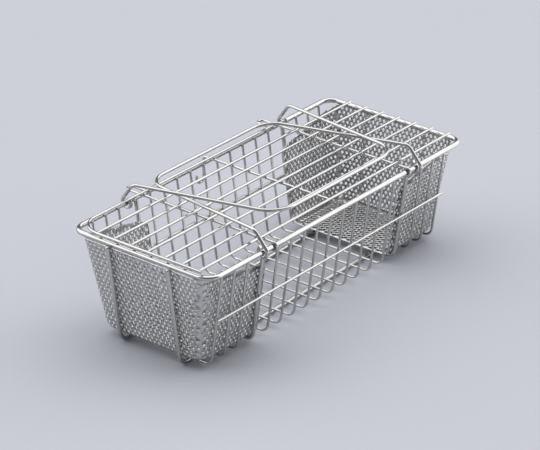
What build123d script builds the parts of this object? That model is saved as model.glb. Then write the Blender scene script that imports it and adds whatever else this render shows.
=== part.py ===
"""Autoclave basket: a welded wire basket with two perforated end liners, a wire lid that
hinges on the near rim and two folding handles. Millimetres, +Z up, +X along the basket.
The origin is on the table, below the middle of the rim."""
import os
from math import asin, atan2, cos, hypot, radians, sin, tan

from build123d import *

os.makedirs("parts", exist_ok=True)

# Gaps: between wires that are welded to each other, and in the handles' loose eyes
weld_gap = 0.05
eye_clearance = 0.9

# Rim: a closed ring of thick wire (length and width between centre lines)
rim_length = 360
rim_width = 157
rim_height = 101
rim_corner = 12
rim_wire = 5

# Ribs: U-shaped wires whose outer faces form one trough, tapered towards its base
base_width = 122
rib_bend = 10
rib_top_rise = 1
rib_wire = 2.4
middle_ribs = 10
middle_rib_pitch = 18.5
heavy_rib_wire = 4
heavy_rib_place = 103
end_ribs = 3
end_rib_place = 125
end_rib_pitch = 17

# Runners: two wires lengthwise under the ribs and up both ends, outside the rim
runner_wire = 4
runner_spacing = 69
runner_base = 342
runner_bend = 10
runner_top_drop = 1

# Side wires: one along each long side, outside the ribs
side_wire = 2.6
side_wire_height = 51.5
side_wire_overhang = 1

# Liners: perforated sheet, one formed piece at each end of the basket
sheet = 1
liner_corner = 13
liner_edge = 7
liner_rim_gap = 0.1
liner_free_edge = 95
flap_slope = 0.2
flap_corner = 9
hole = 6
hole_pitch = 14.5
floor_rows = 5
floor_columns = 5
end_rows = 5
end_columns = 7
flap_rows = 4
flap_columns = 4

# Lid: a frame wire round two sides, rods along it and three wires across, all one gauge
lid_wire = 2.6
frame_overhang = 2
frame_inset = 7
frame_near_gap = 8.5
frame_corner = 23
frame_end_overlap = 3
rods = 7
rod_pitch = 19.3
near_rod_inset = 11.2
rod_tip_inset = 5
left_cross_place = -96
middle_cross_place = 0
right_cross_place = 95
ring_sweep = 250
hairpin_reach = 13.5
hairpin_gap = 8
hairpin_return = 22
cross_end_overlap = 2.7
hook_standoff = 0.35
hook_drop = 21
hook_curl = 5
hook_tip = 3

# Handles: two alike, each hung from the rim by open eyes at the ends of one bent wire
handle_wire = 3.2
handle_pivot_place = 110
eye_sweep = 275
riser_slope = 49
riser_reach = 9.5
riser_bend = 8
grip_reach = 155
grip_rise = 11
grip_half_width = 83
grip_corner = 25
far_handle_lift = 5.3


def lean(run, rise, clearance):
    """Angle from vertical, in radians, of a straight line that starts `run` inside and
    `rise` below a wire's centre and passes that centre at `clearance`, positive outside."""
    return atan2(run, rise) + asin(clearance / hypot(run, rise))


def about_pivot(radius, angle):
    """Point round a lengthwise axis, in degrees from inboard through straight up."""
    return (0, radius * cos(radians(angle)), radius * sin(radians(angle)))


def round_section(path, diameter):
    """Circle square to the start of a path, ready to sweep along it."""
    with BuildSketch(Plane(origin=path @ 0, z_dir=path % 0)) as section:
        Circle(diameter / 2)
    return section.sketch


def save(part, label):
    """Name a finished piece and write it as a STEP file."""
    part.label = label
    export_step(part, f"parts/{label}.step")


rib_floor = runner_wire + weld_gap
rib_lean = lean(rim_width / 2 - base_width / 2, rim_height - rib_floor, -rim_wire / 2 - weld_gap)
runner_line_height = runner_wire / 2
runner_lean = lean(
    rim_length / 2 - runner_base / 2,
    rim_height - runner_line_height,
    rim_wire / 2 + weld_gap + runner_wire / 2,
)


def rib_face(height):
    """Distance from the middle to the ribs' outer faces, at a height."""
    return base_width / 2 + (height - rib_floor) * tan(rib_lean)


def runner_face(height):
    """Distance from the middle to the runners' inner faces at the basket's ends."""
    line = runner_base / 2 + (height - runner_line_height) * tan(runner_lean)
    return line - runner_wire / 2 / cos(runner_lean)


# Rim
with BuildPart() as rim:
    with BuildLine(Plane.XY.offset(rim_height)) as rim_line:
        FilletPolyline(
            (-rim_length / 2, -rim_width / 2),
            (rim_length / 2, -rim_width / 2),
            (rim_length / 2, rim_width / 2),
            (-rim_length / 2, rim_width / 2),
            radius=rim_corner,
            close=True,
        )
    sweep(sections=round_section(rim_line.line, rim_wire), path=rim_line.line)
save(rim.part, "rim")

# Ribs, from the left end to the right: thin ones at the ends and in the middle, and a
# heavy one at each liner's open edge
end_places = [end_rib_place + number * end_rib_pitch for number in range(end_ribs)]
middle_span = (middle_ribs - 1) * middle_rib_pitch
middle_places = [number * middle_rib_pitch - middle_span / 2 for number in range(middle_ribs)]
rib_wires = {place: rib_wire for place in middle_places}
for place in end_places:
    rib_wires[-place] = rib_wire
    rib_wires[place] = rib_wire
rib_wires[-heavy_rib_place] = heavy_rib_wire
rib_wires[heavy_rib_place] = heavy_rib_wire

for number, place in enumerate(sorted(rib_wires), start=1):
    wire = rib_wires[place]
    rib_line_height = rib_floor + wire / 2
    rib_top = rim_height + rib_top_rise
    inset = wire / 2 / cos(rib_lean)
    with BuildPart() as rib:
        with BuildLine() as rib_line:
            FilletPolyline(
                (place, inset - rib_face(rib_top), rib_top),
                (place, inset - rib_face(rib_line_height), rib_line_height),
                (place, rib_face(rib_line_height) - inset, rib_line_height),
                (place, rib_face(rib_top) - inset, rib_top),
                radius=rib_bend - wire / 2,
            )
        sweep(sections=round_section(rib_line.line, wire), path=rib_line.line)
    save(rib.part, f"rib_{number:02d}")

# Runners
for side, place in (("near", -runner_spacing / 2), ("far", runner_spacing / 2)):
    runner_top = rim_height - runner_top_drop
    reach = runner_base / 2 + (runner_top - runner_line_height) * tan(runner_lean)
    with BuildPart() as runner:
        with BuildLine() as runner_line:
            FilletPolyline(
                (-reach, place, runner_top),
                (-runner_base / 2, place, runner_line_height),
                (runner_base / 2, place, runner_line_height),
                (reach, place, runner_top),
                radius=runner_bend,
            )
        sweep(sections=round_section(runner_line.line, runner_wire), path=runner_line.line)
    save(runner.part, f"runner_{side}")

# Side wires, just outside the ribs' faces
side_wire_place = rib_face(side_wire_height) + (side_wire / 2 + weld_gap) / cos(rib_lean)
side_wire_half = end_places[-1] + rib_wire / 2 + side_wire_overhang
for side, place in (("near", -side_wire_place), ("far", side_wire_place)):
    with BuildPart() as side_piece:
        with BuildSketch(Plane.YZ):
            with Locations((place, side_wire_height)):
                Circle(side_wire / 2)
        extrude(amount=side_wire_half, both=True)
    save(side_piece.part, f"side_wire_{side}")

# Liners: the right one is a tray end whose walls follow the heavy rib and the runners,
# cut back along a sloping top edge; the left one is its mirror image
liner_floor = rib_floor + heavy_rib_wire + weld_gap
liner_top = rim_height - rim_wire / 2 - liner_rim_gap


def tray(inward):
    """The liners' tapered tray with a rounded floor edge, drawn in by a distance."""
    low = liner_floor + inward
    runner_inset = (weld_gap + inward) / cos(runner_lean)
    rib_inset = (heavy_rib_wire + weld_gap + inward) / cos(rib_lean)
    with BuildPart() as form:
        for height in (low, liner_top):
            with BuildSketch(Plane.XY.offset(height)):
                RectangleRounded(
                    2 * (runner_face(height) - runner_inset),
                    2 * (rib_face(height) - rib_inset),
                    liner_corner - inward,
                )
        loft()
        fillet(form.faces().sort_by(Axis.Z)[0].edges(), radius=liner_edge - inward)
    return form.part


liner_end = runner_face(liner_top)
flap_low = liner_top - flap_slope * (liner_end - liner_free_edge)
end_place = runner_face(liner_floor) - liner_edge
flap_middle = (liner_free_edge + end_place) / 2

with BuildPart() as liner_right:
    add(tray(0))
    add(tray(sheet), mode=Mode.SUBTRACT)
    with BuildSketch(Plane.XZ) as flap_outline:
        with BuildLine():
            Polyline(
                (liner_free_edge, 0),
                (liner_free_edge, flap_low),
                (liner_end, liner_top),
                (rim_length, liner_top),
                (rim_length, 0),
                close=True,
            )
        make_face()
        fillet(flap_outline.vertices().group_by(Axis.X)[0].sort_by(Axis.Y)[-1], radius=flap_corner)
    extrude(amount=rim_width, both=True, mode=Mode.INTERSECT)
    # Perforation: through the floor, through both flaps and through the end wall
    with BuildSketch(Plane.XY):
        with Locations((flap_middle, 0)):
            with HexLocations(hole_pitch / 2, floor_rows, floor_columns):
                Circle(hole / 2)
    extrude(amount=liner_floor + liner_edge, mode=Mode.SUBTRACT)
    with BuildSketch(Plane.XZ):
        with Locations((flap_middle, (liner_floor + flap_low) / 2)):
            with HexLocations(hole_pitch / 2, flap_rows, flap_columns):
                Circle(hole / 2)
    extrude(amount=rim_width, both=True, mode=Mode.SUBTRACT)
    with BuildSketch(Plane.YZ.offset(end_place)):
        with Locations((0, (liner_floor + liner_top) / 2)):
            with HexLocations(hole_pitch / 2, end_columns, end_rows):
                Circle(hole / 2)
    extrude(amount=rim_length / 2, mode=Mode.SUBTRACT)
save(liner_right.part, "liner_right")

with BuildPart() as liner_left:
    mirror(liner_right.part, about=Plane.YZ)
save(liner_left.part, "liner_left")

# Lid: the cross wires lie on the rim, the frame and the rods lie on the cross wires
cross_rise = rim_wire / 2 + weld_gap + lid_wire / 2
cross_height = rim_height + cross_rise
lid_height = cross_height + lid_wire + weld_gap
frame_left = -rim_length / 2 - frame_overhang
frame_far = rim_width / 2 - frame_inset
hairpin_radius = hairpin_gap / 2

with BuildPart() as lid_frame:
    with BuildLine(Plane.XY.offset(lid_height)) as frame_line:
        FilletPolyline(
            (frame_left, frame_near_gap - rim_width / 2),
            (frame_left, frame_far),
            (right_cross_place - hairpin_gap + frame_end_overlap, frame_far),
            radius=frame_corner,
        )
    sweep(sections=round_section(frame_line.line, lid_wire), path=frame_line.line)
save(lid_frame.part, "lid_frame")

near_rod = near_rod_inset - rim_width / 2
rod_start = frame_left + lid_wire / 2 + weld_gap
for number in range(rods):
    with BuildPart() as lid_rod:
        with BuildSketch(Plane.YZ.offset(rod_start)):
            with Locations((near_rod + number * rod_pitch, lid_height)):
                Circle(lid_wire / 2)
        extrude(amount=rim_length / 2 - rod_tip_inset - rod_start)
    save(lid_rod.part, f"lid_rod_{number + 1}")

# Outer cross wires: a ring round the near rim, which is the lid's hinge, and a hairpin
# that reaches over the far rim and turns back towards the middle
for side, place, inward in (("left", left_cross_place, 1), ("right", right_cross_place, -1)):
    with BuildPart() as lid_cross:
        with BuildLine(Plane(origin=(place, -rim_width / 2, rim_height))) as cross_line:
            ThreePointArc(
                about_pivot(cross_rise, 90 + ring_sweep),
                about_pivot(cross_rise, 90 + ring_sweep / 2),
                about_pivot(cross_rise, 90),
            )
            turn = rim_width + hairpin_reach - hairpin_radius
            Line(about_pivot(cross_rise, 90), (0, turn, cross_rise))
            ThreePointArc(
                (0, turn, cross_rise),
                (inward * hairpin_radius, turn + hairpin_radius, cross_rise),
                (inward * hairpin_gap, turn, cross_rise),
            )
            Line(
                (inward * hairpin_gap, turn, cross_rise),
                (inward * hairpin_gap, rim_width + hairpin_reach - hairpin_return, cross_rise),
            )
        sweep(sections=round_section(cross_line.line, lid_wire), path=cross_line.line)
    save(lid_cross.part, f"lid_cross_{side}")

# Middle cross wire: over the far rim and down outside it, with a curled finger hook
with BuildPart() as lid_cross_middle:
    with BuildLine(Plane(origin=(middle_cross_place, rim_width / 2, rim_height))) as hook_line:
        bend = cross_rise + hook_standoff
        Line((0, near_rod_inset - rim_width - cross_end_overlap, cross_rise), (0, 0, cross_rise))
        ThreePointArc(
            (0, 0, cross_rise),
            (0, bend * sin(radians(45)), bend * cos(radians(45)) - hook_standoff),
            (0, bend, -hook_standoff),
        )
        Line((0, bend, -hook_standoff), (0, bend, hook_curl - hook_drop))
        ThreePointArc(
            (0, bend, hook_curl - hook_drop),
            (-hook_curl, bend, -hook_drop),
            (-2 * hook_curl, bend, hook_curl - hook_drop),
        )
        Line(
            (-2 * hook_curl, bend, hook_curl - hook_drop),
            (-2 * hook_curl, bend, hook_curl - hook_drop + hook_tip),
        )
    sweep(sections=round_section(hook_line.line, lid_wire), path=hook_line.line)
save(lid_cross_middle.part, "lid_cross_middle")

# Handles: each half runs from its eye up a short riser and along the arm to the middle
# of the grip. The far handle is the near one turned round, and lies on top of it.
eye_radius = rim_wire / 2 + eye_clearance + handle_wire / 2
eye_leave = 90 + riser_slope
riser_start = about_pivot(eye_radius, eye_leave)
riser_rise = riser_start[2] + (riser_reach - riser_start[1]) * tan(radians(riser_slope))
near_pivot = Plane(origin=(0, -rim_width / 2, rim_height))
far_pivot = Plane(Location((0, rim_width / 2, rim_height), (-far_handle_lift, 0, 180)))

for side, pivot in (("near", near_pivot), ("far", far_pivot)):
    with BuildPart() as handle:
        with BuildLine(pivot) as handle_line:
            eye = [about_pivot(eye_radius, eye_leave + eye_sweep * part) for part in (1, 0.5, 0)]
            ThreePointArc(*[(handle_pivot_place, y, z) for x, y, z in eye])
            FilletPolyline(
                (handle_pivot_place, riser_start[1], riser_start[2]),
                (handle_pivot_place, riser_reach, riser_rise),
                (grip_half_width, grip_reach, grip_rise),
                (0, grip_reach, grip_rise),
                radius=[riser_bend, grip_corner],
            )
        sweep(sections=round_section(handle_line.line, handle_wire), path=handle_line.line)
        mirror(about=Plane.YZ)
    save(handle.part, f"handle_{side}")
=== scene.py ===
"""Autoclave basket: bright bent wire, perforated end liners, welds and a plain studio.
Shapes are worked out in millimetres and put into meshes in metres."""
import math

import bmesh
import bpy
import numpy as np
from mathutils import Matrix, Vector
from mathutils.geometry import delaunay_2d_cdt


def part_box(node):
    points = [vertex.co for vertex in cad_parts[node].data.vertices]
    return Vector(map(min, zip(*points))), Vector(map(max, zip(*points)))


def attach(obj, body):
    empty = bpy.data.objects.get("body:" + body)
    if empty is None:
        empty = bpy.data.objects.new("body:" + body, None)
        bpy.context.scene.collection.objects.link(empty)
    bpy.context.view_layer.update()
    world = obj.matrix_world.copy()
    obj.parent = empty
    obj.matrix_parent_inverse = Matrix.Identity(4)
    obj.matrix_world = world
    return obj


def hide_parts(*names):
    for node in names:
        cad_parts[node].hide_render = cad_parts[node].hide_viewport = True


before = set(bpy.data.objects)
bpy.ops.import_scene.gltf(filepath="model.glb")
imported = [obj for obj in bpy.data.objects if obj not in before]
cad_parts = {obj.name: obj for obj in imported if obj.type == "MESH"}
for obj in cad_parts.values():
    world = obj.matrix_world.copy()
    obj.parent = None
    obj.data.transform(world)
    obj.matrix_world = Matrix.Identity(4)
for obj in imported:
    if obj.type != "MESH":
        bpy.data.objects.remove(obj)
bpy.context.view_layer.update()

METRES = 0.001
WELD_GAP = 0.05

# A direction that no wire or weld runs along, to turn their sections from
STEADY = np.array([1.0, 1.0, 1.0])
# Degrees between the points of an arc, and the rounding of a wire's cut ends
ARC_STEP = 7
CUT_ROUNDING = 0.25
TIP_ROUNDING = 1.7
TIP_RINGS = 4


# ---------------------------------------------------------------- sizes from the frame


def span(node):
    """Lowest and highest corner of a CAD node, in millimetres."""
    low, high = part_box(node)
    return np.array(low) / METRES, np.array(high) / METRES


def middle(node):
    """Centre of a CAD node's box, in millimetres."""
    low, high = span(node)
    return (low + high) / 2


def thickness(node, axis):
    """Wire diameter of a node that is one wire thick along an axis, to 0.1 mm."""
    low, high = span(node)
    return round(float(high[axis] - low[axis]), 1)


RIM_WIRE = thickness("rim", 2)
RIM_HEIGHT = middle("rim")[2]
RIM_HALF_LENGTH = span("rim")[1][0] - RIM_WIRE / 2
RIM_HALF_WIDTH = span("rim")[1][1] - RIM_WIRE / 2
RIM_CORNER = 12

RIBS = sorted(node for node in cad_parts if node.startswith("rib_"))
RIB_TOP = RIM_HEIGHT + 1
RIB_BEND = 10
HEAVY_WIRE = max(thickness(rib, 0) for rib in RIBS)
BASE_HALF_WIDTH = 61

RUNNER_WIRE = thickness("runner_near", 1)
RUNNER_PLACE = middle("runner_far")[1]
RUNNER_HALF_BASE = 171
RUNNER_BEND = 10
RUNNER_TOP = RIM_HEIGHT - 1
RUNNER_LINE = RUNNER_WIRE / 2

SIDE_WIRE = thickness("side_wire_far", 2)
SIDE_HEIGHT = middle("side_wire_far")[2]
SIDE_PLACE = middle("side_wire_far")[1]
SIDE_HALF_LENGTH = span("side_wire_far")[1][0]

LID_WIRE = thickness("lid_frame", 2)
LID_HEIGHT = middle("lid_frame")[2]
FRAME_CORNER = 23
CROSS_RISE = RIM_WIRE / 2 + WELD_GAP + LID_WIRE / 2
RING_SWEEP = 250
HAIRPIN_GAP = 8
HAIRPIN_RETURN = 22
HOOK_STANDOFF = 0.35
HOOK_CURL = 5
HOOK_TIP = 3

HANDLE_WIRE = 3.2
HANDLE_PIVOT = 110
EYE_CLEARANCE = 0.9
EYE_SWEEP = 275
RISER_SLOPE = 49
RISER_REACH = 9.5
RISER_BEND = 8
GRIP_REACH = 155
GRIP_RISE = 11
GRIP_HALF_WIDTH = 83
GRIP_CORNER = 25
FAR_LIFT = 5.3

SHEET = 1
LINER_FREE_EDGE = span("liner_right")[0][0]
LINER_CORNER = 13
LINER_EDGE = 7
LINER_TOP = RIM_HEIGHT - RIM_WIRE / 2 - 0.1
FLAP_SLOPE = 0.2
FLAP_CORNER = 9
HOLE = 3
HOLE_PITCH = 5
HOLE_SIDES = 14
PLAIN_EDGE = 1.0
PLAIN_SEAM = 0.3
EDGE_STEP = 1.6
TRIM_TURN_STEP = 0.08
TIP_TURN_STEP = 0.12
ROWS_AT_ONCE = 4000
KEPT_SHARE = 0.98


def lean(run, rise, clearance):
    """Angle from vertical of a line that starts `run` inside and `rise` below a wire's
    centre and passes it at `clearance`: atan(run / rise) + asin(clearance / distance)."""
    return math.atan2(run, rise) + math.asin(clearance / math.hypot(run, rise))


RIB_FLOOR = RUNNER_WIRE + WELD_GAP
RIB_LEAN = lean(RIM_HALF_WIDTH - BASE_HALF_WIDTH, RIM_HEIGHT - RIB_FLOOR, -RIM_WIRE / 2 - WELD_GAP)
RUNNER_LEAN = lean(
    RIM_HALF_LENGTH - RUNNER_HALF_BASE,
    RIM_HEIGHT - RUNNER_LINE,
    RIM_WIRE / 2 + WELD_GAP + RUNNER_WIRE / 2,
)
LINER_FLOOR = RIB_FLOOR + HEAVY_WIRE + WELD_GAP


def rib_face(height):
    """Distance from the middle to the ribs' outer faces: base + rise * tan(lean)."""
    return BASE_HALF_WIDTH + (height - RIB_FLOOR) * math.tan(RIB_LEAN)


def runner_face(height):
    """Distance from the middle to the runners' inner faces at the basket's ends."""
    line = RUNNER_HALF_BASE + (height - RUNNER_LINE) * math.tan(RUNNER_LEAN)
    return line - RUNNER_WIRE / 2 / math.cos(RUNNER_LEAN)


# ---------------------------------------------------------------- lines that wires follow


def unit(vectors):
    """Vectors scaled to length one."""
    vectors = np.asarray(vectors, float)
    return vectors / np.linalg.norm(vectors, axis=-1, keepdims=True)


def straight(start, end):
    """Two points and the direction between them, once for each."""
    ends = np.array([start, end], float)
    return ends, np.repeat(unit(ends[1:] - ends[:1]), 2, axis=0)


def arc(centre, first, second, start, end):
    """centre + cos(t) * first + sin(t) * second, with t from start to end in degrees, and
    the derivative along the way of travel."""
    count = 2 + int(abs(end - start) / ARC_STEP)
    angle = np.radians(np.linspace(start, end, count))[:, None]
    first, second = np.asarray(first, float), np.asarray(second, float)
    points = np.asarray(centre, float) + np.cos(angle) * first + np.sin(angle) * second
    way = np.sign(end - start) * (np.cos(angle) * second - np.sin(angle) * first)
    return points, unit(way)


def join(*lines):
    """Lines end to end, each later one without its first point, which is shared."""
    points = [lines[0][0]] + [line[0][1:] for line in lines[1:]]
    ways = [lines[0][1]] + [line[1][1:] for line in lines[1:]]
    return np.concatenate(points), np.concatenate(ways)


def bent(corners, bends):
    """Straight runs joined by arcs. A corner that turns by `turn` is cut back by
    bend * tan(turn / 2), and its arc is start + bend * (sin(t) * in + (1 - cos(t)) * side)."""
    corners = np.asarray(corners, float)
    ways = unit(np.diff(corners, axis=0))
    points, directions = [corners[:1]], [ways[:1]]
    for corner, way_in, way_out, bend in zip(corners[1:-1], ways[:-1], ways[1:], bends):
        turn = math.acos(float(way_in @ way_out))
        side = unit(way_out - way_in * (way_in @ way_out))
        start = corner - way_in * bend * math.tan(turn / 2)
        angle = np.linspace(0, turn, 2 + int(math.degrees(turn) / ARC_STEP))[:, None]
        points.append(start + bend * (np.sin(angle) * way_in + (1 - np.cos(angle)) * side))
        directions.append(np.cos(angle) * way_in + np.sin(angle) * side)
    return np.concatenate(points + [corners[-1:]]), np.concatenate(directions + [ways[-1:]])


# ---------------------------------------------------------------- meshes


def new_piece(name, points, faces, corner_uvs, material, sharp_degrees=40):
    """Object from arrays: points in millimetres, faces as rows of equal length in a few
    arrays, and a UV for each face corner in the same order."""
    mesh = bpy.data.meshes.new(name)
    rows = [row for block in faces for row in block.tolist()]
    mesh.from_pydata((points * METRES).tolist(), [], rows)
    layer = mesh.uv_layers.new(name="surface")
    flat = np.concatenate([block.reshape(-1, 2) for block in corner_uvs]).astype(np.float32)
    layer.data.foreach_set("uv", flat.ravel())
    mesh.shade_smooth()
    mesh.set_sharp_from_angle(angle=math.radians(sharp_degrees))
    mesh.materials.append(material)
    mesh.validate()
    piece = bpy.data.objects.new(name, mesh)
    bpy.context.scene.collection.objects.link(piece)
    return piece


def wire_piece(
    name, line, diameter, material, around=28, closed=False, rounding=CUT_ROUNDING
):
    """Round wire: point(v, u) = line(v) + radius(v) * (cos u * across + sin u * up), where
    across and up stand square to the line. Open ends are rounded by a quarter circle and
    closed by a fan; a closed wire's last ring joins its first."""
    points, ways = line
    radius = np.full(len(points), diameter / 2)
    if closed:
        points, ways, radius = points[:-1], ways[:-1], radius[:-1]
    else:
        curl = np.linspace(0, np.pi / 2, TIP_RINGS)[:, None]
        setback, trim = rounding * (1 - np.sin(curl)), rounding * (1 - np.cos(curl[:, 0]))
        first, last = points[0] + setback * ways[0], points[-1] - setback * ways[-1]
        points = np.concatenate([first[::-1], points[1:-1], last])
        ways = np.concatenate([ways[[0] * TIP_RINGS], ways[1:-1], ways[[-1] * TIP_RINGS]])
        radius = np.concatenate([diameter / 2 - trim[::-1], radius[1:-1], diameter / 2 - trim])
    across = unit(np.cross(ways, STEADY))
    up = np.cross(across, ways)
    rings = len(points)
    turn = np.linspace(0, 2 * np.pi, around, endpoint=False)[None, :, None]
    circle = np.cos(turn) * across[:, None] + np.sin(turn) * up[:, None]
    skin = (points[:, None] + radius[:, None, None] * circle).reshape(-1, 3)
    spans = rings if closed else rings - 1
    ring, step = np.meshgrid(np.arange(spans), np.arange(around), indexing="ij")
    ring_next, step_next = (ring + 1) % rings, (step + 1) % around
    quads = np.stack(
        [
            ring * around + step,
            ring * around + step_next,
            ring_next * around + step_next,
            ring_next * around + step,
        ],
        axis=-1,
    ).reshape(-1, 4)
    gaps = np.linalg.norm(np.diff(points, axis=0, append=points[:1]), axis=1)
    travel = np.concatenate([[0], np.cumsum(gaps)])
    girth = np.pi * diameter / around
    quad_uvs = np.stack(
        [
            np.stack([step * girth, travel[ring]], -1),
            np.stack([(step + 1) * girth, travel[ring]], -1),
            np.stack([(step + 1) * girth, travel[ring + 1]], -1),
            np.stack([step * girth, travel[ring + 1]], -1),
        ],
        axis=2,
    ).reshape(-1, 4, 2)
    faces, uvs = [quads], [quad_uvs * METRES]
    if not closed:
        tips = len(skin)
        skin = np.concatenate([skin, points[:1], points[-1:]])
        edge = np.arange(around)
        after = (edge + 1) % around
        last = (rings - 1) * around
        faces.append(np.stack([after, edge, np.full(around, tips)], -1))
        faces.append(np.stack([last + edge, last + after, np.full(around, tips + 1)], -1))
        disc = np.stack([np.cos(turn[0, :, 0]), np.sin(turn[0, :, 0])], -1) * diameter / 2
        hub = np.zeros_like(disc)
        uvs.append(np.stack([disc[after], disc[edge], hub], 1) * METRES)
        uvs.append(np.stack([disc[edge], disc[after], hub], 1) * METRES)
    return new_piece(name, skin, faces, uvs, material)


def weld_beads(name, places, normals, radius, depth, material):
    """Weld metal squeezed out where wires touch: one flat ellipsoid a crossing,
    place + sin b * radius * (cos a * first + sin a * second) + cos b * depth * normal."""
    places, normals = np.asarray(places, float), unit(normals)
    first = unit(np.cross(normals, STEADY))
    second = np.cross(normals, first)
    rows, columns = 8, 14
    fall = np.linspace(0, np.pi, rows + 1)[1:-1]
    turn = np.linspace(0, 2 * np.pi, columns, endpoint=False)
    b, a = np.meshgrid(fall, turn, indexing="ij")
    flat = np.cos(a)[..., None, None] * first + np.sin(a)[..., None, None] * second
    level, rise = np.sin(b)[..., None, None], np.cos(b)[..., None, None]
    shell = level * radius * flat + rise * depth * normals
    shell = (shell + places).transpose(2, 0, 1, 3).reshape(len(places), -1, 3)
    poles = np.stack([places + depth * normals, places - depth * normals], 1)
    points = np.concatenate([shell, poles], 1)
    row, column = np.meshgrid(np.arange(rows - 2), np.arange(columns), indexing="ij")
    after = (column + 1) % columns
    quads = np.stack(
        [
            row * columns + column,
            (row + 1) * columns + column,
            (row + 1) * columns + after,
            row * columns + after,
        ],
        axis=-1,
    ).reshape(-1, 4)
    edge = np.arange(columns)
    after = (edge + 1) % columns
    count = (rows - 1) * columns
    low = (rows - 2) * columns
    fans = np.concatenate(
        [
            np.stack([edge, after, np.full(columns, count)], -1),
            np.stack([low + after, low + edge, np.full(columns, count + 1)], -1),
        ]
    )
    base = (np.arange(len(places)) * (count + 2))[:, None, None]
    faces = [(quads + base).reshape(-1, 4), (fans + base).reshape(-1, 3)]
    uvs = [np.zeros((len(block), block.shape[1], 2)) for block in faces]
    return new_piece(name, points.reshape(-1, 3), faces, uvs, material)


# ---------------------------------------------------------------- shader groups

CLOUD_SCALE = 45
GRAIN_HEIGHT = 0.00005


def group_socket(group, name, kind, direction, value=None):
    """A named input or output on a node group."""
    socket = group.interface.new_socket(name=name, in_out=direction, socket_type=kind)
    if value is not None:
        socket.default_value = value
    return socket


def smooth_ramp(nodes, link, source, start, end):
    """Map Range that eases from 0 to 1 as the source goes from start to end."""
    ramp = nodes.new("ShaderNodeMapRange")
    ramp.interpolation_type = "SMOOTHSTEP"
    ramp.inputs["From Min"].default_value = start
    ramp.inputs["From Max"].default_value = end
    link(source, ramp.inputs["Value"])
    return ramp


def along_direction(nodes, link, source, direction):
    """Dot product of a vector with a fixed direction."""
    dot = nodes.new("ShaderNodeVectorMath")
    dot.operation = "DOT_PRODUCT"
    dot.inputs[1].default_value = direction
    link(source, dot.inputs[0])
    return dot.outputs["Value"]


def steel_finish_group():
    """Shared finish of steel: fine grain that runs along the surface's second UV axis, a
    slow cloudiness in gloss and tone, and a bump from the grain."""
    group = bpy.data.node_groups.new("steel_finish", "ShaderNodeTree")
    group_socket(group, "Tone", "NodeSocketColor", "INPUT", (0.6, 0.6, 0.6, 1))
    group_socket(group, "Tone Change", "NodeSocketFloat", "INPUT", 0.08)
    group_socket(group, "Polish", "NodeSocketFloat", "INPUT", 0.15)
    group_socket(group, "Polish Change", "NodeSocketFloat", "INPUT", 0.06)
    group_socket(group, "Grain Across", "NodeSocketFloat", "INPUT", 9000)
    group_socket(group, "Grain Along", "NodeSocketFloat", "INPUT", 120)
    group_socket(group, "Grain Depth", "NodeSocketFloat", "INPUT", 0.05)
    group_socket(group, "Color", "NodeSocketColor", "OUTPUT")
    group_socket(group, "Roughness", "NodeSocketFloat", "OUTPUT")
    group_socket(group, "Normal", "NodeSocketVector", "OUTPUT")
    nodes, link = group.nodes, group.links.new
    given, made = nodes.new("NodeGroupInput"), nodes.new("NodeGroupOutput")
    place = nodes.new("ShaderNodeTexCoord")
    stretch = nodes.new("ShaderNodeCombineXYZ")
    link(given.outputs["Grain Across"], stretch.inputs[0])
    link(given.outputs["Grain Along"], stretch.inputs[1])
    scaled = nodes.new("ShaderNodeVectorMath")
    scaled.operation = "MULTIPLY"
    link(place.outputs["UV"], scaled.inputs[0])
    link(stretch.outputs[0], scaled.inputs[1])
    grain = nodes.new("ShaderNodeTexNoise")
    grain.inputs["Scale"].default_value = 1
    grain.inputs["Detail"].default_value = 3
    link(scaled.outputs[0], grain.inputs["Vector"])
    cloud = nodes.new("ShaderNodeTexNoise")
    cloud.inputs["Scale"].default_value = CLOUD_SCALE
    cloud.inputs["Detail"].default_value = 4
    link(place.outputs["Object"], cloud.inputs["Vector"])
    bump = nodes.new("ShaderNodeBump")
    bump.inputs["Distance"].default_value = GRAIN_HEIGHT
    link(given.outputs["Grain Depth"], bump.inputs["Strength"])
    link(grain.outputs["Fac"], bump.inputs["Height"])
    link(bump.outputs["Normal"], made.inputs["Normal"])

    def around_zero(source, amount):
        """amount * (source - 0.5) * 2"""
        centred = nodes.new("ShaderNodeMath")
        centred.operation = "MULTIPLY_ADD"
        centred.inputs[1].default_value = 2
        centred.inputs[2].default_value = -1
        link(source, centred.inputs[0])
        scaled_noise = nodes.new("ShaderNodeMath")
        scaled_noise.operation = "MULTIPLY"
        link(centred.outputs[0], scaled_noise.inputs[0])
        link(given.outputs[amount], scaled_noise.inputs[1])
        return scaled_noise.outputs[0]

    rough = nodes.new("ShaderNodeMath")
    rough.operation = "ADD"
    rough.use_clamp = True
    link(given.outputs["Polish"], rough.inputs[0])
    link(around_zero(cloud.outputs["Fac"], "Polish Change"), rough.inputs[1])
    link(rough.outputs[0], made.inputs["Roughness"])
    brighten = nodes.new("ShaderNodeMath")
    brighten.operation = "ADD"
    brighten.inputs[1].default_value = 1
    link(around_zero(cloud.outputs["Fac"], "Tone Change"), brighten.inputs[0])
    tone = nodes.new("ShaderNodeVectorMath")
    tone.operation = "SCALE"
    link(given.outputs["Tone"], tone.inputs[0])
    link(brighten.outputs[0], tone.inputs["Scale"])
    link(tone.outputs[0], made.inputs["Color"])
    return group


STEEL_FINISH = steel_finish_group()


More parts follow.
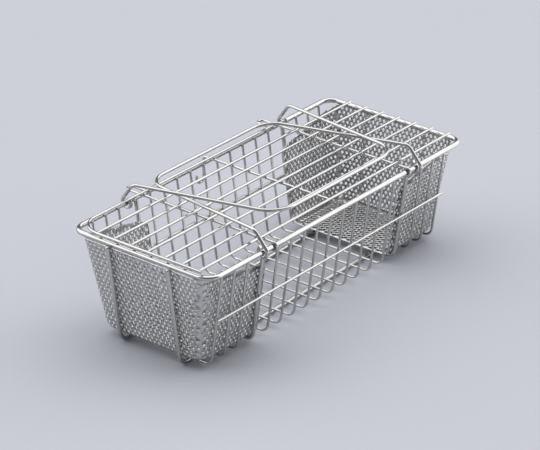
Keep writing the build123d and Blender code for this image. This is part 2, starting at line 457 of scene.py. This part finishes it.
def steel(name, tone, tone_change, polish, polish_change, across, along, depth):
    """Metal with the shared finish at its own values."""
    material = bpy.data.materials.new(name)
    material.use_nodes = True
    nodes, link = material.node_tree.nodes, material.node_tree.links.new
    shader = nodes["Principled BSDF"]
    shader.inputs["Metallic"].default_value = 1
    finish = nodes.new("ShaderNodeGroup")
    finish.node_tree = STEEL_FINISH
    finish.inputs["Tone"].default_value = (*tone, 1)
    finish.inputs["Tone Change"].default_value = tone_change
    finish.inputs["Polish"].default_value = polish
    finish.inputs["Polish Change"].default_value = polish_change
    finish.inputs["Grain Across"].default_value = across
    finish.inputs["Grain Along"].default_value = along
    finish.inputs["Grain Depth"].default_value = depth
    link(finish.outputs["Color"], shader.inputs["Base Color"])
    link(finish.outputs["Roughness"], shader.inputs["Roughness"])
    link(finish.outputs["Normal"], shader.inputs["Normal"])
    return material


BRIGHT_WIRE = steel("bright_wire", (0.51, 0.505, 0.495), 0.05, 0.09, 0.03, 3000, 20, 0.05)
SATIN_SHEET = steel("satin_sheet", (0.55, 0.55, 0.545), 0.08, 0.28, 0.07, 2600, 90, 0.25)
WELD_METAL = steel("weld_metal", (0.48, 0.465, 0.44), 0.16, 0.26, 0.10, 3000, 3000, 0.4)


# ---------------------------------------------------------------- wires


def dress(piece, body, slot, *nodes):
    """A finished piece rides on its body and stands for its CAD nodes."""
    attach(piece, body)
    if nodes:
        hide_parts(*nodes)
    return piece


def add_wire(name, node, line, diameter, body="basket", **shape):
    """A bright wire in place of a CAD node."""
    piece = wire_piece(name, line, diameter, BRIGHT_WIRE, **shape)
    return dress(piece, body, "bright_wire", node)


def add_rim():
    """The rim: a rounded rectangle, begun and ended at the middle of its near side."""
    x, y, z = RIM_HALF_LENGTH, RIM_HALF_WIDTH, RIM_HEIGHT
    corners = [(0, -y, z), (x, -y, z), (x, y, z), (-x, y, z), (-x, -y, z), (0, -y, z)]
    line = bent(corners, [RIM_CORNER] * 4)
    add_wire("rim_wire", "rim", line, RIM_WIRE, around=40, closed=True)


def add_ribs():
    """The ribs: two leaning legs and a foot, inside one shared trough."""
    for rib in RIBS:
        place = middle(rib)[0]
        wire = thickness(rib, 0)
        inset = wire / 2 / math.cos(RIB_LEAN)
        foot = RIB_FLOOR + wire / 2
        top_half, foot_half = rib_face(RIB_TOP) - inset, rib_face(foot) - inset
        corners = [
            (place, -top_half, RIB_TOP),
            (place, -foot_half, foot),
            (place, foot_half, foot),
            (place, top_half, RIB_TOP),
        ]
        line = bent(corners, [RIB_BEND - wire / 2] * 2)
        add_wire(rib.replace("rib", "rib_wire"), rib, line, wire)


def add_runners():
    """The runners: lengthwise wires that turn up outside the rim at both ends."""
    reach = RUNNER_HALF_BASE + (RUNNER_TOP - RUNNER_LINE) * math.tan(RUNNER_LEAN)
    for side, y in (("near", -RUNNER_PLACE), ("far", RUNNER_PLACE)):
        corners = [
            (-reach, y, RUNNER_TOP),
            (-RUNNER_HALF_BASE, y, RUNNER_LINE),
            (RUNNER_HALF_BASE, y, RUNNER_LINE),
            (reach, y, RUNNER_TOP),
        ]
        line = bent(corners, [RUNNER_BEND] * 2)
        add_wire(f"runner_wire_{side}", f"runner_{side}", line, RUNNER_WIRE, rounding=TIP_ROUNDING)


def add_side_wires():
    """The side wires: straight, outside the ribs."""
    for side, y in (("near", -SIDE_PLACE), ("far", SIDE_PLACE)):
        line = straight((-SIDE_HALF_LENGTH, y, SIDE_HEIGHT), (SIDE_HALF_LENGTH, y, SIDE_HEIGHT))
        add_wire(f"side_rod_{side}", f"side_wire_{side}", line, SIDE_WIRE)


def add_lid_frame():
    """The lid's frame: along the left end, round one corner and along the far side."""
    low, high = span("lid_frame")
    left, far = low[0] + LID_WIRE / 2, high[1] - LID_WIRE / 2
    corners = [(left, low[1], LID_HEIGHT), (left, far, LID_HEIGHT), (high[0], far, LID_HEIGHT)]
    add_wire("lid_frame_wire", "lid_frame", bent(corners, [FRAME_CORNER]), LID_WIRE)


def add_lid_rods():
    """The lid's rods: straight, butted to the frame at their left ends."""
    for node in sorted(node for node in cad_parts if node.startswith("lid_rod_")):
        low, high = span(node)
        _, y, z = middle(node)
        line = straight((low[0], y, z), (high[0], y, z))
        add_wire(node.replace("lid_rod", "lid_bar"), node, line, LID_WIRE)


def around_pivot(origin, inward, radius, start, end):
    """Arc about a lengthwise axis, in degrees from inboard through straight up."""
    return arc(origin, (0, inward * radius, 0), (0, 0, radius), start, end)


def add_outer_crosses():
    """The outer cross wires: a ring round the near rim, a run over both rims and a
    hairpin that comes back towards the lid's middle."""
    z = RIM_HEIGHT + CROSS_RISE
    radius = HAIRPIN_GAP / 2
    for side, inward in (("left", 1), ("right", -1)):
        node = f"lid_cross_{side}"
        low, high = span(node)
        outer = low[0] if inward > 0 else high[0]
        x = outer + inward * LID_WIRE / 2
        turn_y = high[1] - LID_WIRE / 2 - radius
        pivot = (x, -RIM_HALF_WIDTH, RIM_HEIGHT)
        ring = around_pivot(pivot, 1, CROSS_RISE, 90 + RING_SWEEP, 90)
        run = straight((x, -RIM_HALF_WIDTH, z), (x, turn_y, z))
        centre = (x + inward * radius, turn_y, z)
        bend = arc(centre, (-inward * radius, 0, 0), (0, radius, 0), 0, 180)
        back_x = x + inward * HAIRPIN_GAP
        back = straight((back_x, turn_y, z), (back_x, turn_y + radius - HAIRPIN_RETURN, z))
        line = join(ring, run, bend, back)
        add_wire(f"lid_{side}_cross_wire", node, line, LID_WIRE)


def add_hook_cross():
    """The middle cross wire: over the far rim, down outside it and up in a finger hook."""
    node = "lid_cross_middle"
    low, high = span(node)
    x = high[0] - LID_WIRE / 2
    z = RIM_HEIGHT + CROSS_RISE
    bend = CROSS_RISE + HOOK_STANDOFF
    over = RIM_HALF_WIDTH + bend
    curl_height = low[2] + LID_WIRE / 2 + HOOK_CURL
    run = straight((x, low[1], z), (x, RIM_HALF_WIDTH, z))
    shoulder_centre = (x, RIM_HALF_WIDTH, RIM_HEIGHT - HOOK_STANDOFF)
    shoulder = arc(shoulder_centre, (0, 0, bend), (0, bend, 0), 0, 90)
    drop = straight((x, over, RIM_HEIGHT - HOOK_STANDOFF), (x, over, curl_height))
    curl_centre = (x - HOOK_CURL, over, curl_height)
    curl = arc(curl_centre, (HOOK_CURL, 0, 0), (0, 0, -HOOK_CURL), 0, 180)
    tip_x = x - 2 * HOOK_CURL
    tip = straight((tip_x, over, curl_height), (tip_x, over, curl_height + HOOK_TIP))
    line = join(run, shoulder, drop, curl, tip)
    add_wire("lid_hook_wire", node, line, LID_WIRE)


def handle_half(lift):
    """Half a handle beside the near rim's axis, turned up about that axis by `lift`
    degrees: the open eye, the riser that leaves it, the arm and half the grip."""
    radius = RIM_WIRE / 2 + EYE_CLEARANCE + HANDLE_WIRE / 2
    leave = 90 + RISER_SLOPE
    slope = math.radians(RISER_SLOPE)
    eye = around_pivot((HANDLE_PIVOT, 0, 0), 1, radius, leave + EYE_SWEEP, leave)
    start = eye[0][-1]
    riser_top = start[2] + (RISER_REACH - start[1]) * math.tan(slope)
    corners = [
        tuple(start),
        (HANDLE_PIVOT, RISER_REACH, riser_top),
        (GRIP_HALF_WIDTH, GRIP_REACH, GRIP_RISE),
        (0, GRIP_REACH, GRIP_RISE),
    ]
    points, ways = join(eye, bent(corners, [RISER_BEND, GRIP_CORNER]))
    turn = np.array(Matrix.Rotation(math.radians(lift), 3, "X"))
    return points @ turn.T, ways @ turn.T


def add_handles():
    """The handles: a half and its mirror image joined at the grip's middle; the far one
    is the near one turned half round and lifted a little, so that it lies on top."""
    mirror = np.array([-1, 1, 1])
    for side, facing, lift in (("near", 1, 0), ("far", -1, FAR_LIFT)):
        points, ways = handle_half(lift)
        line = join((points, ways), (points[::-1] * mirror, ways[::-1] * -mirror))
        place = np.array([0, -facing * RIM_HALF_WIDTH, RIM_HEIGHT])
        turn = np.array([facing, facing, 1])
        line = (line[0] * turn + place, line[1] * turn)
        body = f"handle_{side}"
        add_wire(f"handle_wire_{side}", body, line, HANDLE_WIRE, body, around=32)


# ---------------------------------------------------------------- welds

WELD_RADIUS = 1.0
WELD_DEPTH = 0.36


def add_welds():
    """Weld beads where the wires cross, grouped by the joint they make."""
    rib_x = np.array([middle(rib)[0] for rib in RIBS])
    out = np.array([0, math.cos(RIB_LEAN), -math.sin(RIB_LEAN)])
    groups = {"welds_runners": [], "welds_rim": [], "welds_sides": [], "welds_lid": []}
    for x in rib_x:
        for way in (-1, 1):
            face = out * (1, way, 1)
            rim_centre = np.array([x, way * RIM_HALF_WIDTH, RIM_HEIGHT])
            groups["welds_rim"].append((rim_centre - face * RIM_WIRE / 2, face))
            foot = np.array([x, way * RUNNER_PLACE, RIB_FLOOR])
            groups["welds_runners"].append((foot, (0, 0, 1)))
            side = np.array([x, way * rib_face(SIDE_HEIGHT), SIDE_HEIGHT])
            groups["welds_sides"].append((side, face))
    end_out = np.array([math.cos(RUNNER_LEAN), 0, -math.sin(RUNNER_LEAN)])
    for end in (-1, 1):
        for way in (-1, 1):
            face = end_out * (end, 1, 1)
            rim_centre = np.array([end * RIM_HALF_LENGTH, way * RUNNER_PLACE, RIM_HEIGHT])
            groups["welds_rim"].append((rim_centre + face * RIM_WIRE / 2, face))
    level = RIM_HEIGHT + CROSS_RISE + LID_WIRE / 2
    rods = sorted(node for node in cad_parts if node.startswith("lid_rod_"))
    rod_y = [middle(rod)[1] for rod in rods]
    left_low = span("lid_cross_left")[0][0]
    right_high = span("lid_cross_right")[1][0]
    left_x = left_low + LID_WIRE / 2
    right_x = right_high - LID_WIRE / 2
    hook_x = span("lid_cross_middle")[1][0] - LID_WIRE / 2
    for x in (left_x, hook_x, right_x):
        for y in rod_y:
            groups["welds_lid"].append(((x, y, level), (0, 0, 1)))
    frame_low, frame_high = span("lid_frame")
    frame_y = frame_high[1] - LID_WIRE / 2
    for x in (left_x, left_x + HAIRPIN_GAP, hook_x, right_x - HAIRPIN_GAP):
        groups["welds_lid"].append(((x, frame_y, level), (0, 0, 1)))
    for y in rod_y:
        groups["welds_lid"].append(((frame_low[0] + LID_WIRE, y, LID_HEIGHT), (1, 0, 0)))
    for name, crossings in groups.items():
        places = [place for place, _ in crossings]
        normals = [normal for _, normal in crossings]
        beads = weld_beads(name, places, normals, WELD_RADIUS, WELD_DEPTH, WELD_METAL)
        dress(beads, "basket", "bright_wire")


# ---------------------------------------------------------------- liners

LINER_LEAN = (RIB_LEAN + RUNNER_LEAN) / 2
LINER_HEART = (LINER_FREE_EDGE + 20, LINER_FLOOR + 40)
EDGE_TURN = math.pi / 2 - LINER_LEAN
EDGE_LENGTH = LINER_EDGE * EDGE_TURN
EDGE_RISE = LINER_EDGE * (1 - math.sin(LINER_LEAN))


def liner_half_length(height):
    """Outer face of the end wall, carried down to a sharp floor edge."""
    return runner_face(height) - WELD_GAP / math.cos(RUNNER_LEAN)


def liner_half_width(height):
    """Outer faces of the flaps, carried down to a sharp floor edge."""
    return rib_face(height) - (HEAVY_WIRE + WELD_GAP) / math.cos(RIB_LEAN)


def rise_and_inset(climb):
    """Height and draw-in of the wall at a distance up the sheet: an arc of the floor edge's
    radius for the first stretch, then a straight leaning wall."""
    turn = np.clip(climb / LINER_EDGE, 0, EDGE_TURN)
    beyond = np.maximum(climb - EDGE_LENGTH, 0)
    out = LINER_EDGE * (np.sin(turn) - math.tan(EDGE_TURN / 2)) + beyond * math.sin(LINER_LEAN)
    rise = LINER_EDGE * (1 - np.cos(turn)) + beyond * math.cos(LINER_LEAN)
    return LINER_FLOOR + rise, rise * math.tan(LINER_LEAN) - out


def climb_at(height):
    """Distance up the sheet to a height on the straight part of the wall."""
    return EDGE_LENGTH + (height - LINER_FLOOR - EDGE_RISE) / math.cos(LINER_LEAN)


def end_wall(along, climb):
    """Outer face of the end wall and its half corners: `along` is measured from the middle
    of the wall, straight to the corner and then round its arc."""
    height, inset = rise_and_inset(climb)
    flat = liner_half_width(height) - LINER_CORNER
    radius = LINER_CORNER - inset
    turn = np.maximum(np.abs(along) - flat, 0) / radius
    x = liner_half_length(height) - LINER_CORNER + radius * np.cos(turn)
    y = np.sign(along) * (np.minimum(np.abs(along), flat) + radius * np.sin(turn))
    return np.stack([x, y, height], -1)


def flap_wall(along, climb):
    """Outer face of the far flap and its half corner: `along` is measured from the free
    edge, straight to the corner and then round its arc."""
    height, inset = rise_and_inset(climb)
    place = LINER_FREE_EDGE + along
    flat = liner_half_length(height) - LINER_CORNER
    radius = LINER_CORNER - inset
    turn = np.maximum(place - flat, 0) / radius
    x = np.minimum(place, flat) + radius * np.sin(turn)
    y = liner_half_width(height) - LINER_CORNER + radius * np.cos(turn)
    return np.stack([x, y, height], -1)


def floor_sheet(x, y):
    """Underside of the liner's floor."""
    return np.stack([x, y, np.full_like(x, LINER_FLOOR)], -1)


FLAP_LOW = LINER_TOP - FLAP_SLOPE * (runner_face(LINER_TOP) - LINER_FREE_EDGE)


def trim_height(corner_sine):
    """Height of the sloping trim where the corner's arc has turned away from the flap by an
    angle with this sine: the trim plane z = a + slope * x meets a wall whose x grows
    with z, so x is solved from the two lines."""
    spread = math.tan(RUNNER_LEAN)
    base = liner_half_length(LINER_FLOOR) - LINER_CORNER + LINER_CORNER * corner_sine
    start = FLAP_LOW - FLAP_SLOPE * LINER_FREE_EDGE
    x = (base + spread * (start - LINER_FLOOR)) / (1 - spread * FLAP_SLOPE)
    return start + FLAP_SLOPE * x


def steps(start, end, step):
    """Evenly spaced values from start to end, about a step apart."""
    return np.linspace(start, end, 2 + int(abs(end - start) / step))


def corner_edge(climbs, wall_flat):
    """Distance along a wall to the corner's middle line, at distances up the sheet."""
    height, inset = rise_and_inset(climbs)
    return wall_flat(height) - LINER_CORNER + (LINER_CORNER - inset) * math.pi / 4


def polyline_distance(points, line):
    """Shortest distance from each point to a polyline, by its nearest segment."""
    start, way = line[:-1], np.diff(line, axis=0)
    offset = points[:, None] - start
    share = np.clip((offset * way).sum(-1) / (way * way).sum(-1), 0, 1)
    return np.linalg.norm(offset - share[..., None] * way, axis=-1).min(1)


def inside(points, outline):
    """True where a point lies inside a closed outline, by counting crossings to its right."""
    first, second = outline, np.roll(outline, -1, axis=0)
    x, y = points[:, :1], points[:, 1:]
    crosses = (first[:, 1] > y) != (second[:, 1] > y)
    rise = np.where(second[:, 1] == first[:, 1], 1, second[:, 1] - first[:, 1])
    at = first[:, 0] + (y - first[:, 1]) * (second[:, 0] - first[:, 0]) / rise
    return (crosses & (x < at)).sum(1) % 2 == 1


def hole_centres(outline, edges, seams, anchor):
    """Staggered rows of holes that keep clear of the cut edges and of the seams."""
    low, high = outline.min(0), outline.max(0)
    row_gap = HOLE_PITCH * math.sqrt(3) / 2
    first = (low - anchor) / (HOLE_PITCH, row_gap)
    last = (high - anchor) / (HOLE_PITCH, row_gap)
    rows = np.arange(math.floor(first[1]), last[1])
    columns = np.arange(math.floor(first[0]) - 1, last[0])
    row, column = np.meshgrid(rows, columns, indexing="ij")
    x = anchor[0] + (column + 0.5 * (row % 2)) * HOLE_PITCH
    y = anchor[1] + row * row_gap
    centres = np.stack([x.ravel(), y.ravel()], -1)
    centres = centres[inside(centres, outline)]
    clear_edge = polyline_distance(centres, edges) > HOLE / 2 + PLAIN_EDGE
    clear_seam = polyline_distance(centres, seams) > HOLE / 2 + PLAIN_SEAM
    return centres[clear_edge & clear_seam]


def punched_sheet(outline, centres):
    """Triangles of a flat outline with round holes: the outline and the hole rings are kept
    as edges of a Delaunay triangulation, and triangles inside a hole are left out."""
    angle = np.linspace(0, 2 * np.pi, HOLE_SIDES, endpoint=False)
    ring = np.stack([np.cos(angle), np.sin(angle)], -1) * HOLE / 2
    rings = (centres[:, None] + ring).reshape(-1, 2)
    points = np.concatenate([outline, rings])
    first = len(outline) + np.arange(len(rings))
    step = first + 1
    step[HOLE_SIDES - 1 :: HOLE_SIDES] -= HOLE_SIDES
    edges = np.stack([first, step], -1)
    rim = [list(range(len(outline)))]
    result = delaunay_2d_cdt(points.tolist(), edges.tolist(), rim, 1, 1e-6, False)
    flat = np.array([tuple(vertex) for vertex in result[0]])
    faces = np.array([face for face in result[2] if len(face) == 3])
    middle_points = flat[faces].mean(1)
    blocks = np.array_split(middle_points, 1 + len(middle_points) // ROWS_AT_ONCE)
    nearest = [np.linalg.norm(block[:, None] - centres, axis=-1).min(1) for block in blocks]
    solid = np.concatenate(nearest) > HOLE / 2 * math.cos(math.pi / HOLE_SIDES) * KEPT_SHARE
    return flat, faces[solid]


def level_line(start, end):
    """Pattern points along the floor seam, at no distance up the sheet."""
    along = steps(start, end, EDGE_STEP)
    return np.stack([along, np.zeros_like(along)], -1)


def corner_climbs():
    """Distances up the sheet of the points on a corner's middle line."""
    top = climb_at(trim_height(math.sqrt(0.5)))
    foot, wall = steps(0, EDGE_LENGTH, EDGE_STEP), steps(EDGE_LENGTH, top, EDGE_STEP)
    return np.concatenate([foot, wall[1:]])


def flap_cut_line():
    """The flap's cut: from the corner's middle line along the sloping trim, round the free
    corner by an arc that touches the trim and the free edge, and down the free edge."""
    sines = np.sin(steps(math.pi / 4, 0, TRIM_TURN_STEP))
    bend_height = trim_height(sines)
    bend_flat = liner_half_length(bend_height) - LINER_CORNER - LINER_FREE_EDGE
    bend_along = bend_flat + LINER_CORNER * np.arcsin(sines)
    tip_x = LINER_FREE_EDGE + FLAP_CORNER
    tip_z = FLAP_LOW + FLAP_SLOPE * FLAP_CORNER - FLAP_CORNER * math.hypot(1, FLAP_SLOPE)
    tip_turn = steps(math.pi / 2 + math.atan(FLAP_SLOPE), math.pi, TIP_TURN_STEP)
    tip_along = tip_x + FLAP_CORNER * np.cos(tip_turn) - LINER_FREE_EDGE
    tip_height = tip_z + FLAP_CORNER * np.sin(tip_turn)
    run_along = steps(bend_along[-1], tip_along[0], EDGE_STEP)
    run_height = FLAP_LOW + FLAP_SLOPE * run_along
    along = np.concatenate([bend_along, run_along[1:], tip_along[1:]])
    height = np.concatenate([bend_height, run_height[1:], tip_height[1:]])
    top = np.stack([along, climb_at(height)], -1)
    free_climb = steps(top[-1, 1], 0, EDGE_STEP)
    free = np.stack([np.zeros_like(free_climb), free_climb], -1)
    return np.concatenate([top, free[1:]])


def end_cut_line():
    """The end wall's cut: round half of one corner, straight across and round the other."""
    cosines = np.cos(steps(math.pi / 4, 0, TRIM_TURN_STEP))
    height = trim_height(cosines)
    along = liner_half_width(height) - LINER_CORNER + LINER_CORNER * np.arccos(cosines)
    half = np.stack([along, climb_at(height)], -1)
    run = steps(along[-1], -along[-1], EDGE_STEP)
    flat = np.stack([run, np.full_like(run, half[-1, 1])], -1)
    return np.concatenate([half, flat[1:], half[::-1][1:] * (-1, 1)])


def liner_patches():
    """The right liner as flat patterns and where they go: floor, end wall and both flaps,
    which share the points along their seams. Each is (places, flat points, triangles)."""
    climbs = corner_climbs()
    # Flap: floor seam, corner seam, sloping trim, free corner, free edge
    flap_seam = corner_edge(climbs, liner_half_length) - LINER_FREE_EDGE
    flap_floor = level_line(0, flap_seam[0])
    flap_seams = np.concatenate([flap_floor, np.stack([flap_seam, climbs], -1)[1:]])
    flap_cut = flap_cut_line()
    flap_outline = np.concatenate([flap_seams, flap_cut[1:-1]])
    flap_anchor = (PLAIN_EDGE + HOLE, EDGE_LENGTH)
    flap_holes = hole_centres(flap_outline, flap_cut, flap_seams, flap_anchor)
    flap_flat, flap_faces = punched_sheet(flap_outline, flap_holes)
    # End wall: floor seam, right corner seam, trim, left corner seam
    end_seam = corner_edge(climbs, liner_half_width)
    end_floor = level_line(-end_seam[0], end_seam[0])
    right_side = np.stack([end_seam, climbs], -1)
    left_side = right_side[::-1] * (-1, 1)
    end_cut = end_cut_line()
    end_outline = np.concatenate([end_floor, right_side[1:], end_cut[1:], left_side[1:-1]])
    end_seams = np.concatenate([left_side, end_floor[1:], right_side[1:]])
    end_holes = hole_centres(end_outline, end_cut, end_seams, (0, EDGE_LENGTH))
    end_flat, end_faces = punched_sheet(end_outline, end_holes)
    # Floor: bounded by the other patterns' lowest lines and the free edge
    far_line = flap_wall(*flap_floor.T)[:, :2]
    end_line = end_wall(*end_floor.T)[:, :2]
    near_line = far_line * (1, -1)
    free_y = steps(far_line[0, 1], near_line[0, 1], EDGE_STEP)
    free_line = np.stack([np.full_like(free_y, LINER_FREE_EDGE), free_y], -1)
    floor_seams = np.concatenate([near_line, end_line[1:], far_line[::-1][1:]])
    floor_outline = np.concatenate([floor_seams, free_line[1:-1]])
    floor_anchor = (LINER_FREE_EDGE + PLAIN_EDGE + HOLE, 0)
    floor_holes = hole_centres(floor_outline, free_line, floor_seams, floor_anchor)
    floor_flat, floor_faces = punched_sheet(floor_outline, floor_holes)
    flap_places = flap_wall(*flap_flat.T)
    return [
        (floor_sheet(*floor_flat.T), floor_flat, floor_faces),
        (end_wall(*end_flat.T), end_flat, end_faces),
        (flap_places, flap_flat, flap_faces),
        (flap_places * (1, -1, 1), flap_flat, flap_faces),
    ]


def facing_out(places, faces, heart):
    """Triangles turned so that their normals point away from the liner's inside."""
    corners = places[faces]
    normals = np.cross(corners[:, 1] - corners[:, 0], corners[:, 2] - corners[:, 0])
    inward = (normals * (corners.mean(1) - heart)).sum(-1) < 0
    return np.where(inward[:, None], faces[:, ::-1], faces)


def add_liners():
    """Both liners: patches sewn along their seams and thickened inwards by the sheet."""
    patches = liner_patches()
    for side, way in (("left", -1), ("right", 1)):
        heart = np.array([way * LINER_HEART[0], 0, LINER_HEART[1]])
        points, faces, uvs, count = [], [], [], 0
        for places, flat, triangles in patches:
            places = places * (way, 1, 1)
            triangles = facing_out(places, triangles, heart)
            points.append(places)
            faces.append(triangles + count)
            uvs.append(flat[triangles] * METRES)
            count += len(places)
        node = f"liner_{side}"
        piece = new_piece(f"liner_sheet_{side}", np.concatenate(points), faces, uvs, SATIN_SHEET)
        sewn = bmesh.new()
        sewn.from_mesh(piece.data)
        bmesh.ops.remove_doubles(sewn, verts=sewn.verts, dist=0.01 * METRES)
        sewn.to_mesh(piece.data)
        sewn.free()
        wall = piece.modifiers.new("sheet", "SOLIDIFY")
        wall.thickness = SHEET * METRES
        wall.offset = -1
        dress(piece, "basket", "perforated_steel", node)


# ---------------------------------------------------------------- studio

VIEW_AZIMUTH = math.radians(-50.56)
VIEW_ELEVATION = math.radians(25.608)
VIEW_ROLL = math.radians(-0.431)
VIEW_DISTANCE = 2.6613
VIEW_LENS = 197.1
VIEW_SHIFT = (-0.0062, -0.0761)
FLOOR_HALF_SIZE = 30
FLOOR_TONE = (0.475, 0.485, 0.53)
FLOOR_ROUGHNESS = 0.9
# Painted reflection: strength of the white glow the floor shows only to glossy rays, out past the
# near right side
PAINTED_SWEEP_GLOW = 1.6
GLOW_WAY = (0.745, -0.667, 0)
GLOW_START = 0.27
GLOW_FULL = 0.36
DIM_SIDE = (0.72, 0.694, 0)
DIM_INNER = math.radians(28)
DIM_OUTER = math.radians(42)
NEAR_OUTER = -0.34
NEAR_INNER = -0.16
SKY_DIM = 0.22
SKY_BRIGHT = 2.0
SKY_TONE = (0.985, 0.99, 1.0)


def add_camera():
    """Camera aimed at the rim's middle, a little rolled, with its centre shifted."""
    a, e = VIEW_AZIMUTH, VIEW_ELEVATION
    back = np.array([math.sin(a) * math.cos(e), -math.cos(a) * math.cos(e), math.sin(e)])
    right = np.array([math.cos(a), math.sin(a), 0])
    up = np.cross(back, right)
    tilted_right = math.cos(VIEW_ROLL) * right + math.sin(VIEW_ROLL) * up
    tilted_up = math.cos(VIEW_ROLL) * up - math.sin(VIEW_ROLL) * right
    place = np.array([0, 0, RIM_HEIGHT * METRES]) + back * VIEW_DISTANCE
    lens = bpy.data.cameras.new("camera")
    lens.lens = VIEW_LENS
    lens.shift_x, lens.shift_y = VIEW_SHIFT
    lens.clip_start, lens.clip_end = 0.05, 100
    camera = bpy.data.objects.new("camera", lens)
    rows = np.eye(4)
    rows[:3, 0], rows[:3, 1], rows[:3, 2], rows[:3, 3] = tilted_right, tilted_up, back, place
    camera.matrix_world = Matrix(rows.tolist())
    bpy.context.scene.collection.objects.link(camera)
    bpy.context.scene.camera = camera


def add_floor():
    """A wide pale matt floor with a painted reflection: some way out past the basket's near right
    side it glows white in glossy rays only, so the metal shows a lit white sweep that no lamp
    makes."""
    half = FLOOR_HALF_SIZE
    corners = [(-half, -half, 0), (half, -half, 0), (half, half, 0), (-half, half, 0)]
    mesh = bpy.data.meshes.new("floor")
    mesh.from_pydata(corners, [], [(0, 1, 2, 3)])
    material = bpy.data.materials.new("floor")
    material.use_nodes = True
    shader = material.node_tree.nodes["Principled BSDF"]
    shader.inputs["Base Color"].default_value = (*FLOOR_TONE, 1)
    shader.inputs["Roughness"].default_value = FLOOR_ROUGHNESS
    shader.inputs["Specular IOR Level"].default_value = 0
    nodes, link = material.node_tree.nodes, material.node_tree.links.new
    # Painted reflection: a glow mask that grows along GLOW_WAY, applied only to glossy rays
    place = nodes.new("ShaderNodeTexCoord")
    reach = along_direction(nodes, link, place.outputs["Object"], GLOW_WAY)
    beyond = smooth_ramp(nodes, link, reach, GLOW_START, GLOW_FULL)
    ray = nodes.new("ShaderNodeLightPath")
    share = nodes.new("ShaderNodeMath")
    share.operation = "MULTIPLY"
    link(beyond.outputs["Result"], share.inputs[0])
    link(ray.outputs["Is Glossy Ray"], share.inputs[1])
    glow = nodes.new("ShaderNodeEmission")
    glow.inputs["Strength"].default_value = PAINTED_SWEEP_GLOW
    mixed = nodes.new("ShaderNodeMixShader")
    link(share.outputs[0], mixed.inputs["Fac"])
    link(shader.outputs["BSDF"], mixed.inputs[1])
    link(glow.outputs["Emission"], mixed.inputs[2])
    link(mixed.outputs["Shader"], nodes["Material Output"].inputs["Surface"])
    mesh.materials.append(material)
    floor = bpy.data.objects.new("floor", mesh)
    bpy.context.scene.collection.objects.link(floor)


def add_sky():
    """Studio light as a world: a broad bright band overhead and down both sides, between
    a dim side behind the basket and a dim side in front of it."""
    world = bpy.data.worlds.new("studio")
    bpy.context.scene.world = world
    world.use_nodes = True
    nodes, link = world.node_tree.nodes, world.node_tree.links.new
    background = nodes["Background"]
    place = nodes.new("ShaderNodeTexCoord")
    aim = along_direction(nodes, link, place.outputs["Generated"], DIM_SIDE)
    bright = smooth_ramp(nodes, link, aim, NEAR_OUTER, NEAR_INNER)
    bright.inputs["To Min"].default_value = SKY_DIM
    bright.inputs["To Max"].default_value = SKY_BRIGHT
    dim = smooth_ramp(nodes, link, aim, math.cos(DIM_OUTER), math.cos(DIM_INNER))
    dim.inputs["To Max"].default_value = SKY_DIM
    link(bright.outputs["Result"], dim.inputs["To Min"])
    link(dim.outputs["Result"], background.inputs["Strength"])
    background.inputs["Color"].default_value = (*SKY_TONE, 1)


add_camera()
add_rim()
add_ribs()
add_runners()
add_side_wires()
add_lid_frame()
add_lid_rods()
add_outer_crosses()
add_hook_cross()
add_handles()
add_welds()
add_liners()
add_floor()
add_sky()
bpy.context.scene.view_settings.view_transform = "Standard"
